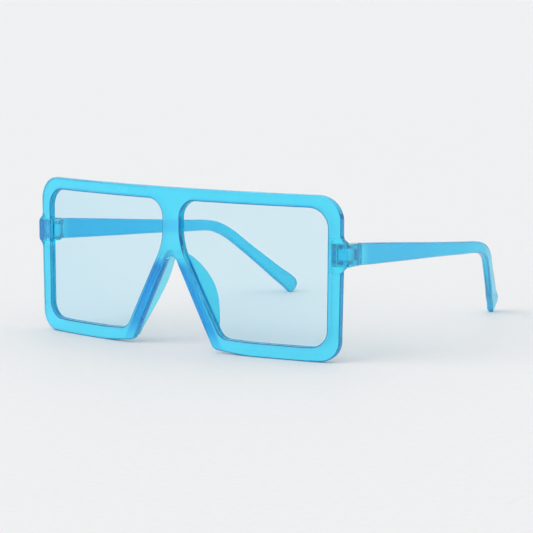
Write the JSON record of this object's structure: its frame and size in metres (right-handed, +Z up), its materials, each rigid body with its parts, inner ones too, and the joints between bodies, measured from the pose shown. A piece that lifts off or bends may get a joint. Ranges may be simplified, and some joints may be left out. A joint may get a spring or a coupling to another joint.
{
  "type": "sunglasses",
  "caption": "Oversized flat-top sunglasses in clear cyan plastic: curved one-piece front with moulded nose pads, tinted square lenses and folding temples on riveted screw hinges.",
  "frame": {"origin": "on the table under the middle of the opened glasses' bounding box", "axes": "+X to the wearer's left, +Y from the front towards the temple tips, +Z up from the table"},
  "size_m": [0.1502, 0.1578, 0.0623],
  "materials": {
    "frame_plastic": "polished, see-through cyan",
    "lens_plastic": "clear, pale blue tint",
    "hinge_metal": "satin"
  },
  "bodies": {
    "front": {"front_frame": "frame_plastic", "lens_left": "lens_plastic", "lens_right": "lens_plastic", "hinge_block_left": "frame_plastic", "hinge_block_right": "frame_plastic", "hinge_rivets_left": "hinge_metal", "hinge_rivets_right": "hinge_metal", "hinge_screw_left": "hinge_metal", "hinge_screw_right": "hinge_metal"},
    "temple_left": {"temple_left": "frame_plastic"},
    "temple_right": {"temple_right": "frame_plastic"}
  },
  "joints": [
    {"name": "left_hinge", "type": "hinge", "parent": "front", "child": "temple_left", "pos_m": [0.0716, -0.06018, 0.04005], "axis": [0, 0, 1], "range_deg": [0, 84]},
    {"name": "right_hinge", "type": "hinge", "parent": "front", "child": "temple_right", "pos_m": [-0.0716, -0.06018, 0.04005], "axis": [0, 0, -1], "range_deg": [0, 74]}
  ]
}
